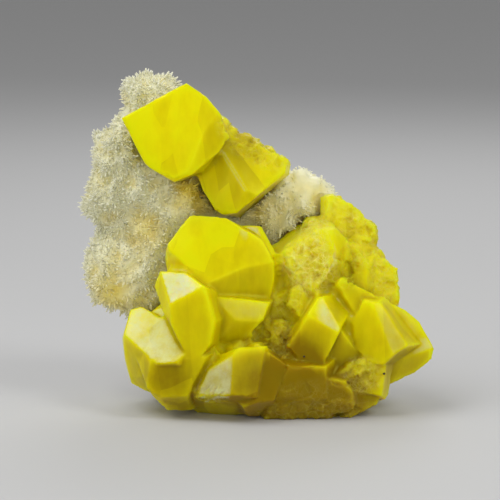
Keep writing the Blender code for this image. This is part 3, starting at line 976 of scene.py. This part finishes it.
@dataclass(frozen=True)
class Druse:
    """The aragonite: a rock core and the fine needles that stand all over its front."""

    node: str = "aragonite_matrix"
    voxel: float = 0.8          # mm, fineness of the core
    rounds: int = 7             # how often the core is smoothed
    sink: float = 0.55          # mm, the core's surface lies this far under the solid's
    bare_depth: float = -11.0   # mm, behind this the rock is broken and bare
    bare_edge: float = 2.0      # mm, how far that border wanders
    bare_fade: float = 1.2      # mm, how wide it is
    clear: float = 0.75         # mm, needles keep this far from the sulfur
    low_patch: Triple = (16.0, 19.5, 2.0)   # here the needles are short and lie close
    low_reach: float = 9.0      # mm, how wide that patch is
    low: float = 0.3            # how tall they are in it, as a share of their length
    floor_gap: float = 2.4      # mm, no needles stand lower than this
    bush: float = 1.7           # mm, how far clumps of needles stand out
    bush_size: float = 3.6      # mm
    rough: tuple[tuple[float, float], ...] = ((2.6, 0.15), (0.9, 0.1))  # size mm, relief mm
    plates: tuple[tuple[float, float], ...] = ((7.5, 2.0), (2.8, 0.7))  # size mm, relief mm
    # Marks of painted shade tinted by the sulfur's yellow light.
    sulfur_lit_shades: tuple[Mark, ...] = ()

    def core(self) -> bpy.types.Object:
        """Makes the rock under the needles.

        Returns:
            The new object, which carries the attributes tip and rock, and the one that holds the
            hollows' painted shade.
        """
        made = add_object("aragonite_rock", merged_copy(self.node))
        fuse_mesh(made, self.voxel)
        mesh = bmesh.new()
        mesh.from_mesh(made.data)
        smooth(mesh, self.rounds)
        back = DISPLAY.to_world().inverted()
        tip = mesh.verts.layers.float.new("tip")
        sulfur_lit_shade = mesh.verts.layers.float.new("sulfur_lit_shade")
        rock = mesh.verts.layers.float.new("rock")
        for vert in mesh.verts:
            spot = back @ vert.co
            bare = self.bareness(spot)
            rough = sum(noise.noise(spot / size) * relief for size, relief in self.rough)
            bush = noise.noise(spot / self.bush_size + Vector((4.7, 1.3, 2.9)))
            bush = bush * self.bush * (1.0 - bare)
            broken = min(0.0, self.fracture(spot)) * bare
            vert.co += vert.normal * (rough + bush + broken - self.sink) * MM
            vert[tip] = 0.6
            # Painted shade tinted by the sulfur's yellow light at the marks, and painted shade in
            # the valleys between the clumps.
            vert[sulfur_lit_shade] = marked(spot, self.sulfur_lit_shades) + 0.3 * max(0.0, -bush)
            vert[rock] = bare
        keep_above_ground(mesh)
        mesh.to_mesh(made.data)
        mesh.free()
        return made

    def bareness(self, spot: Vector) -> float:
        """How much of the rock is bare at a place: 1 on the broken back, 0 at the front."""
        edge = self.bare_depth + noise.noise(spot / 5.0) * self.bare_edge
        return held((edge - spot.z) / self.bare_fade)

    def fracture(self, spot: Vector) -> float:
        """The broken back's relief in millimetres: tilted plates of two sizes."""
        return sum(plate_height(spot / size) * relief for size, relief in self.plates) - 0.5

    def mark_bearing(self, core: bpy.types.Object, sulfur: list[bpy.types.Object]) -> None:
        """Marks how tall needles grow on the core's faces: not at all by the sulfur or behind.

        Args:
            core: the rock.
            sulfur: the sulfur pieces.
        """
        back = DISPLAY.to_world().inverted()
        graph = bpy.context.evaluated_depsgraph_get()
        trees = [BVHTree.FromObject(piece, graph) for piece in sulfur]
        marks = core.data.attributes.new("bearing", "FLOAT", "FACE")
        values = []
        for face in core.data.polygons:
            spot = back @ face.center
            nearest = min(tree.find_nearest(face.center)[3] for tree in trees)
            free = nearest > self.clear * MM and face.center.z > self.floor_gap * MM
            tall = held((spot - Vector(self.low_patch)).length / self.low_reach - 0.4)
            tall = self.low + (1.0 - self.low) * tall
            values.append(tall if free and self.bareness(spot) < 0.5 else 0.0)
        marks.data.foreach_set("value", values)

    def build(self, finish: bpy.types.Material,
              sulfur: list[bpy.types.Object]) -> list[bpy.types.Object]:
        """Makes the core and its needles.

        Args:
            finish: the aragonite's material.
            sulfur: the sulfur pieces, which the needles keep clear of.

        Returns:
            The finished objects.
        """
        core = self.core()
        self.mark_bearing(core, sulfur)
        made = [core]
        for needles in NEEDLES:
            made.append(needles.build(core))
        for piece in made:
            piece.data.materials.clear()
            piece.data.materials.append(finish)
            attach(piece, BODY)
            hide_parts(self.node)
            report(piece)
        return made


@dataclass(frozen=True)
class Needles:
    """One growth of needles over the core, in sprays that spread from points below it."""

    name: str
    spacing: float      # mm, between needles
    spray: float        # mm, between the middles of the sprays
    spread: float       # mm, how deep below the surface a spray starts
    length: tuple[float, float]     # mm
    width: tuple[float, float]      # mm
    stray: float        # how far a needle strays from its spray's direction
    root: float         # mm, how far a needle's foot is sunk
    sides: int
    seed: int
    blunt: float = 0.0  # width of the tip as a share of the foot's

    def prototype(self) -> bpy.types.Object:
        """Makes one needle a metre tall and wide.

        Returns:
            A pyramid on a closed foot, with its point cut off if the needles are blunt.
        """
        mesh = bmesh.new()
        tip = mesh.verts.layers.float.new("tip")
        bmesh.ops.create_cone(mesh, cap_ends=True, segments=self.sides, radius1=0.5,
                              radius2=0.5 * self.blunt, depth=1.0,
                              matrix=Matrix.Translation((0.0, 0.0, 0.5)))
        bmesh.ops.remove_doubles(mesh, verts=mesh.verts, dist=0.01)
        for vert in mesh.verts:
            # Lower down the needle the colour darkens: painted shade between the needles.
            vert[tip] = 0.4 + 0.6 * vert.co.z
        return add_object(self.name + "_one", mesh)

    def tree(self, one: bpy.types.Object) -> bpy.types.NodeTree:
        """The node tree that strews the needles.

        Args:
            one: the single needle.

        Returns:
            A geometry tree from the core's mesh to the joined needles.
        """
        tree = bpy.data.node_groups.new(self.name, "GeometryNodeTree")
        tree.interface.new_socket("Geometry", in_out="INPUT", socket_type="NodeSocketGeometry")
        tree.interface.new_socket("Geometry", in_out="OUTPUT", socket_type="NodeSocketGeometry")
        n = Nodes(tree)
        core = n.add("NodeGroupInput").outputs[0]
        bearing = n.add("GeometryNodeInputNamedAttribute", data_type="FLOAT")
        n.put(bearing.inputs["Name"], "bearing")
        chosen = n.add("FunctionNodeCompare", data_type="FLOAT", operation="GREATER_THAN")
        n.put(chosen.inputs[0], bearing.outputs["Attribute"])
        n.put(chosen.inputs[1], 0.2)
        feet = self.strew(n, core, chosen.outputs["Result"], self.spacing, self.seed)
        sprays = self.strew(n, core, chosen.outputs["Result"], self.spray, self.seed + 1)
        sunk = n.add("GeometryNodeSetPosition")
        n.put(sunk.inputs["Geometry"], sprays.outputs["Points"])
        n.put(sunk.inputs["Offset"], self.scaled(n, sprays.outputs["Normal"], -self.spread * MM))
        where = n.add("GeometryNodeInputPosition").outputs[0]
        near = n.add("GeometryNodeSampleNearest", domain="POINT")
        n.put(near.inputs["Geometry"], sunk.outputs[0])
        middle = n.add("GeometryNodeSampleIndex", data_type="FLOAT_VECTOR", domain="POINT")
        n.feed(middle, Geometry=sunk.outputs[0], Value=where, Index=near.outputs["Index"])
        straight = n.vector("NORMALIZE", n.vector("SUBTRACT", where, middle.outputs[0]))
        stray = self.chance(n, "FLOAT_VECTOR", (-self.stray,) * 3, (self.stray,) * 3, 2)
        turn = n.add("FunctionNodeAlignRotationToVector", axis="Z")
        n.put(turn.inputs["Vector"], n.vector("ADD", straight, stray))
        spin = n.add("FunctionNodeRotateRotation", rotation_space="LOCAL")
        n.put(spin.inputs["Rotation"], turn.outputs[0])
        roll = n.add("FunctionNodeAxisAngleToRotation")
        n.put(roll.inputs["Angle"], self.chance(n, "FLOAT", 0.0, math.tau, 3))
        n.put(spin.inputs["Rotate By"], roll.outputs[0])
        return self.stand(tree, n, one, feet, spin.outputs[0])

    def stand(self, tree: bpy.types.NodeTree, n: Nodes, one: bpy.types.Object,
              feet: bpy.types.Node, turn: bpy.types.NodeSocket) -> bpy.types.NodeTree:
        """Stands a needle of its own size on each foot, and joins them all.

        Args:
            tree: the tree to finish.
            n: its nodes.
            one: the single needle.
            feet: the node that strews the feet.
            turn: each needle's rotation.

        Returns:
            The finished tree.
        """
        wide = self.chance(n, "FLOAT", self.width[0] * MM, self.width[1] * MM, 4)
        tall = self.chance(n, "FLOAT", self.length[0] * MM, self.length[1] * MM, 5)
        growth = n.add("GeometryNodeInputNamedAttribute", data_type="FLOAT")
        n.put(growth.inputs["Name"], "bearing")
        tall = n.math("MULTIPLY", tall, growth.outputs["Attribute"])
        size = n.feed(n.add("ShaderNodeCombineXYZ"), X=wide, Y=wide, Z=tall)
        sunk = n.add("GeometryNodeSetPosition")
        n.put(sunk.inputs["Geometry"], feet.outputs["Points"])
        n.put(sunk.inputs["Offset"], self.scaled(n, feet.outputs["Normal"], -self.root * MM))
        shape = n.add("GeometryNodeObjectInfo", transform_space="ORIGINAL")
        n.put(shape.inputs["Object"], one)
        copies = n.feed(n.add("GeometryNodeInstanceOnPoints"), Points=sunk.outputs[0],
                        Instance=shape.outputs["Geometry"], Rotation=turn, Scale=size.outputs[0])
        joined = n.add("GeometryNodeRealizeInstances")
        n.put(joined.inputs[0], copies.outputs[0])
        leave = n.add("NodeGroupOutput")
        n.put(leave.inputs[0], joined.outputs[0])
        return tree

    def strew(self, n: Nodes, core: bpy.types.NodeSocket, chosen: bpy.types.NodeSocket,
              apart: float, seed: int) -> bpy.types.Node:
        """Strews points.

        Args:
            n: the tree's nodes.
            core: the mesh to strew over.
            chosen: which of its faces bear points.
            apart: the least distance between two points in millimetres.
            seed: the draw.

        Returns:
            The node that gives the points and the faces' normals.
        """
        node = n.add("GeometryNodeDistributePointsOnFaces", distribute_method="POISSON")
        return n.feed(node, Mesh=core, Selection=chosen, Distance_Min=apart * MM,
                      Density_Max=4.0 / (apart * MM) ** 2, Seed=seed)

    def chance(self, n: Nodes, kind: str, low: object, high: object,
               number: int) -> bpy.types.NodeSocket:
        """A random value for each needle.

        Args:
            n: the tree's nodes.
            kind: FLOAT or FLOAT_VECTOR.
            low: the lower limit.
            high: the upper limit.
            number: which of the needles' draws it is.

        Returns:
            The value.
        """
        node = n.add("FunctionNodeRandomValue", data_type=kind)
        limits = [socket for socket in node.inputs if socket.enabled]
        n.put(limits[0], low)
        n.put(limits[1], high)
        n.put(node.inputs["Seed"], self.seed + number)
        return next(socket for socket in node.outputs if socket.enabled)

    def scaled(self, n: Nodes, vector: bpy.types.NodeSocket,
               by: float) -> bpy.types.NodeSocket:
        """A vector times a number.

        Args:
            n: the tree's nodes.
            vector: the vector.
            by: the number.

        Returns:
            The product.
        """
        node = n.add("ShaderNodeVectorMath", operation="SCALE")
        n.put(node.inputs[0], vector)
        n.put(node.inputs["Scale"], by)
        return node.outputs[0]

    def build(self, core: bpy.types.Object) -> bpy.types.Object:
        """Strews the needles over the core.

        Args:
            core: the rock, marked with how tall needles grow.

        Returns:
            The needles, joined into one mesh.
        """
        one = self.prototype()
        made = place_object(self.name, core.data.copy())
        strew = made.modifiers.new("strew", "NODES")
        strew.node_group = self.tree(one)
        bake_modifiers(made)
        bpy.data.objects.remove(one)
        return made


@dataclass(frozen=True)
class DarkGrains:
    """The few dark grains that sit on the specimen."""

    spots: tuple[Triple, ...]   # right, up, radius, mm
    start: float = 60.0         # mm, from how far in front the grains are set down
    lump: float = 0.5           # how uneven they are
    lump_size: float = 0.5      # mm
    tone: Triple = (0.035, 0.02, 0.006)

    def build(self, under: list[bpy.types.Object]) -> bpy.types.Object:
        """Sets each grain on what lies behind it as the viewer sees it.

        Args:
            under: the pieces that grains may sit on.

        Returns:
            The grains, joined.
        """
        graph = bpy.context.evaluated_depsgraph_get()
        trees = [BVHTree.FromObject(piece, graph) for piece in under]
        mesh = bmesh.new()
        inwards = -DISPLAY.way(0.0, 0.0, 1.0)
        for right, up, radius in self.spots:
            start = DISPLAY.seen(right, up, self.start)
            hits = [tree.ray_cast(start, inwards) for tree in trees]
            place, _, _, _ = min((hit for hit in hits if hit[0]), key=lambda hit: hit[3])
            grain = bmesh.ops.create_icosphere(mesh, subdivisions=2, radius=radius * MM)["verts"]
            for vert in grain:
                at = vert.co / (self.lump_size * MM) + Vector((right, up, 0))
                vert.co *= 1.0 + self.lump * noise.noise(at)
            bmesh.ops.translate(mesh, verts=grain, vec=place)
        made = add_object("dark_grains", mesh)
        material, _, shader = start_material("dark_grains")
        set_plain(shader, Base_Color=(*self.tone, 1.0), Roughness=0.6)
        made.data.materials.append(material)
        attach(made, BODY)
        report(made)
        return made


NEEDLES = (
    Needles(name="aragonite_needles", spacing=0.34, spray=5.5, spread=6.0, length=(0.9, 1.6),
            width=(0.46, 0.68), stray=0.24, root=0.6, sides=4, seed=11),
    Needles(name="aragonite_spikes", spacing=0.85, spray=4.2, spread=3.4, length=(1.3, 2.4),
            width=(0.70, 1.10), stray=0.36, root=0.8, sides=5, seed=31, blunt=0.35),
)
# Painted shade tinted by the sulfur's yellow light, in hollows and crevices and beside the
# crystals.
SULFUR_LIT_SHADES = (
    ((-26.0, 4.5, 5.0), 4.6, 0.55),     # the crevice between the left lobes
    ((-15.4, 15.4, 4.0), 4.2, 1.0),     # the hollow under the upper crystal
    ((7.6, -4.5, 4.0), 5.5, 1.0),       # beside the central crystal
    ((-36.5, -14.0, 2.0), 6.0, 0.6),
    ((-9.5, 11.5, 4.0), 4.5, 0.9),
    ((1.5, 9.0, 4.0), 5.0, 0.55),
    ((14.0, 14.0, 4.0), 7.0, 0.30),
    ((-33.0, -9.0, 3.0), 7.0, 0.25),
)

GRAINS = ((-13.2, 14.2, 0.32), (3.0, 6.5, 0.30), (14.5, -28.5, 0.32), (36.0, -33.2, 0.36))

UPPER_ZONES = (
    BrokenZone((-5.2, 30.6, 4.0), (4.2, 4.8, 14.0), 0.9, 2.4, Break.PLATES, 0.2),
    BrokenZone((-0.6, 26.6, 4.0), (5.2, 4.4, 14.0), 0.9, 2.2, Break.PLATES, 0.2),
    BrokenZone((5.2, 23.4, 4.0), (5.8, 3.8, 14.0), 0.8, 2.0, Break.CRINKLED, 0.2),
)
LOWER_ZONES = (
    BrokenZone((5.0, -22.0, 8.0), (8.0, 6.4, 9.0), 1.0, 2.6, Break.PLATES, 0.15),
    BrokenZone((14.6, -3.4, 9.0), (6.6, 7.6, 10.0), 1.2, 2.3, Break.CRINKLED, 0.85),
    BrokenZone((16.3, 4.6, 5.0), (4.8, 3.4, 9.0), 0.9, 1.9, Break.PLATES, 0.7),
    BrokenZone((22.4, 9.5, 3.0), (6.0, 6.4, 14.0), 0.9, 3.0, Break.PLATES, 0.35),
    BrokenZone((28.2, 2.2, 3.0), (5.0, 6.8, 14.0), 1.2, 2.4, Break.PLATES, 0.3),
    BrokenZone((23.5, -5.2, 8.0), (4.4, 5.6, 8.0), 1.2, 2.8, Break.PLATES, 0.05),
    BrokenZone((33.6, -7.0, 5.0), (4.6, 6.4, 8.0), 1.1, 2.6, Break.PLATES, 0.3),
    BrokenZone((27.6, -30.6, 12.0), (5.2, 4.6, 8.0), 1.0, 1.9, Break.PLATES, 0.35),
    BrokenZone((20.0, -39.6, 10.0), (19.0, 3.2, 14.0), 0.7, 2.6, Break.PLATES, 0.15),
    BrokenZone((17.0, -35.0, 15.0), (10.0, 3.6, 8.0), 0.35, 5.0, Break.SHELLY, 0.1),
    BrokenZone((9.6, -12.0, 9.0), (4.2, 4.4, 8.0), 0.9, 2.2, Break.PLATES, 0.25),
    BrokenZone((-9.0, -35.0, 14.5), (5.0, 2.6, 6.0), 0.8, 2.4, Break.SHELLY, 0.35),
    # These zones paint a reflection of the lamps onto faces that look the way which mirrors them.
    BrokenZone((-17.5, -9.4, 12.0), (6.5, 5.0, 14.0), 0.05, 2.0, Break.GLINT, 1.0,
               (-0.42, 0.51, 0.75)),
    BrokenZone((-25.0, -22.0, 12.0), (10.0, 9.5, 16.0), 0.06, 2.0, Break.GLINT, 0.8,
               (-0.21, 0.50, 0.84)),
    BrokenZone((0.9, 4.8, 8.0), (3.4, 2.6, 14.0), 0.03, 2.0, Break.GLINT, 1.0,
               (-0.16, 0.34, 0.93)),
    BrokenZone((-7.5, -32.0, 14.0), (6.5, 7.5, 14.0), 0.05, 2.0, Break.GLINT, 0.7,
               (-0.38, 0.0, 0.93)),
    BrokenZone((-1.2, -13.7, 14.0), (6.5, 3.0, 14.0), 0.04, 2.0, Break.GLINT, 0.15,
               (0.10, 0.10, 0.99)),
    BrokenZone((22.0, -15.5, 12.0), (5.5, 6.5, 14.0), 0.05, 2.0, Break.GLINT, 0.7,
               (0.19, 0.41, 0.89)),
    BrokenZone((35.0, -20.5, 10.0), (6.5, 9.0, 14.0), 0.05, 2.0, Break.GLINT, 0.15,
               (0.30, 0.22, 0.93)),
    BrokenZone((43.3, -24.5, 6.0), (3.0, 2.6, 14.0), 0.05, 2.0, Break.GLINT, 0.5,
               (0.34, 0.07, 0.94)),
)
UPPER_LINES = (
    PaleEdge(((-6.9, 24.2), (-1.2, 14.9)), 0.55, 0.75),
)
LOWER_LINES = (
    PaleEdge(((19.8, 3.0), (20.9, 0.0), (20.6, -3.0), (18.7, -6.2), (17.4, -8.4)), 0.38, 0.42),
    PaleEdge(((-11.6, -35.8), (-9.4, -34.3), (-7.4, -33.9), (-5.6, -34.3)), 0.4, 0.9),
    PaleEdge(((-10.8, -37.0), (-7.6, -35.6), (-5.2, -35.8)), 0.35, 0.8),
)
# Where painted shade deepens the sulfur's tone; the strongest marks darken the bottom of the
# cluster.
UPPER_SHADE_MARKS = (
    ((0.0, 26.5, 7.0), 7.0, 0.50),
)
LOWER_SHADE_MARKS = (
    ((6.0, -22.0, 10.0), 8.0, 0.38),
    ((-22.0, -33.0, 15.0), 10.0, 0.60),
    ((1.0, -35.0, 18.0), 11.0, 0.88),
    ((18.0, -38.0, 15.0), 13.0, 1.02),
    ((20.0, -10.0, 10.0), 8.0, 0.30),
    ((12.0, -27.0, 14.0), 8.0, 0.30),
    ((14.5, -3.0, 11.0), 6.0, 0.14),
    ((38.0, -28.0, 9.0), 7.0, 0.26),
    ((34.0, -20.0, 13.0), 7.0, 0.16),
)

SULFUR = (
    SulfurPiece(node="upper_sulfur_pair", name="upper_sulfur", voxel=0.22, zones=UPPER_ZONES,
                shade_marks=UPPER_SHADE_MARKS, triangles=130000, lines=UPPER_LINES),
    SulfurPiece(node="sulfur_cluster", name="lower_sulfur", voxel=0.28, zones=LOWER_ZONES,
                shade_marks=LOWER_SHADE_MARKS, triangles=195000, lines=LOWER_LINES),
)


@dataclass(frozen=True)
class SoftLight:
    """A soft studio light that shines at the specimen's middle."""

    name: str
    way: Triple         # display direction from the specimen towards the light
    distance: float     # m
    size: tuple[float, float]   # m
    power: float        # W

    def build(self) -> bpy.types.Object:
        """Adds the area light.

        Returns:
            The light, turned to the specimen.
        """
        data = bpy.data.lights.new(self.name, "AREA")
        data.shape = "RECTANGLE"
        data.size, data.size_y = self.size
        data.energy = self.power
        made = place_object(self.name, data)
        towards = DISPLAY.way(*self.way)
        made.location = DISPLAY.seen(0.0, 0.0, 5.0) + towards * self.distance
        made.rotation_euler = towards.to_track_quat("Z", "Y").to_euler()
        return made


@dataclass(frozen=True)
class Studio:
    """The pale floor, the lights, the dim room and the camera."""

    floor_size: float = 6.0     # m
    floor_tone: float = 0.56
    room_tone: float = 0.32
    lens: float = 200.0         # mm
    sensor: float = 36.0        # mm
    lights: tuple[SoftLight, ...] = (
        SoftLight("key", (-0.46, 0.78, 0.30), 0.55, (0.40, 0.34), 1.55),
        SoftLight("front", (0.10, -0.05, 1.0), 0.95, (0.55, 0.55), 1.6),
        SoftLight("fill_right", (0.58, 0.60, 0.55), 0.60, (0.20, 0.20), 0.9),
        SoftLight("side_left", (-0.84, 0.10, 0.54), 0.60, (0.20, 0.30), 0.4),
        SoftLight("side_right", (0.90, 0.05, 0.42), 0.60, (0.20, 0.30), 0.4),
        SoftLight("back", (0.15, 0.72, -0.68), 0.55, (0.35, 0.25), 0.6),
    )

    def floor(self) -> bpy.types.Object:
        """Lays a plain pale floor.

        Returns:
            The floor, which isn't part of the specimen.
        """
        mesh = bmesh.new()
        bmesh.ops.create_grid(mesh, x_segments=1, y_segments=1, size=self.floor_size / 2)
        made = add_object("floor", mesh)
        material, _, shader = start_material("floor")
        set_plain(shader, Base_Color=(*(self.floor_tone,) * 3, 1.0), Roughness=0.7)
        made.data.materials.append(material)
        return made

    def room(self) -> None:
        """The dim grey room around the specimen."""
        world = bpy.data.worlds.new("room")
        world.use_nodes = True
        background = world.node_tree.nodes["Background"]
        set_plain(background, Color=(*(self.room_tone,) * 3, 1.0))
        bpy.context.scene.world = world

    def camera(self) -> bpy.types.Object:
        """Sets the camera up, straight in front of the display frame.

        Returns:
            The camera.
        """
        data = bpy.data.cameras.new("camera")
        data.lens = self.lens
        data.sensor_width = self.sensor
        data.clip_start, data.clip_end = 0.05, 20.0
        made = place_object("camera", data)
        made.location = DISPLAY.seen(0.0, 0.0, 0.0) + DISPLAY.way(0, 0, 1) * DISPLAY.sight * MM
        made.rotation_euler = DISPLAY.way(0, 0, 1).to_track_quat("Z", "Y").to_euler()
        bpy.context.scene.camera = made
        return made

    def build(self) -> None:
        """Sets the whole studio up."""
        self.camera()
        self.floor()
        self.room()
        for light in self.lights:
            light.build()
        bpy.context.scene.view_settings.view_transform = "Standard"


def main() -> None:
    """Dresses the specimen and sets the studio up."""
    logging.basicConfig(level=logging.INFO, format="%(name)s %(message)s")
    noise.seed_set(PLATE_SEED)
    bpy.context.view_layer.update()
    tone, relief = mineral_tone(), GrowthRelief().make()
    sulfur = [crystals.build(SulfurFinish(crystals.node).make(tone, relief)) for crystals in SULFUR]
    druse = Druse(sulfur_lit_shades=SULFUR_LIT_SHADES).build(AragoniteFinish("aragonite_matrix").make(tone), sulfur)
    DarkGrains(GRAINS).build(sulfur + druse)
    Studio().build()


if __name__ == "__main__":
    main()
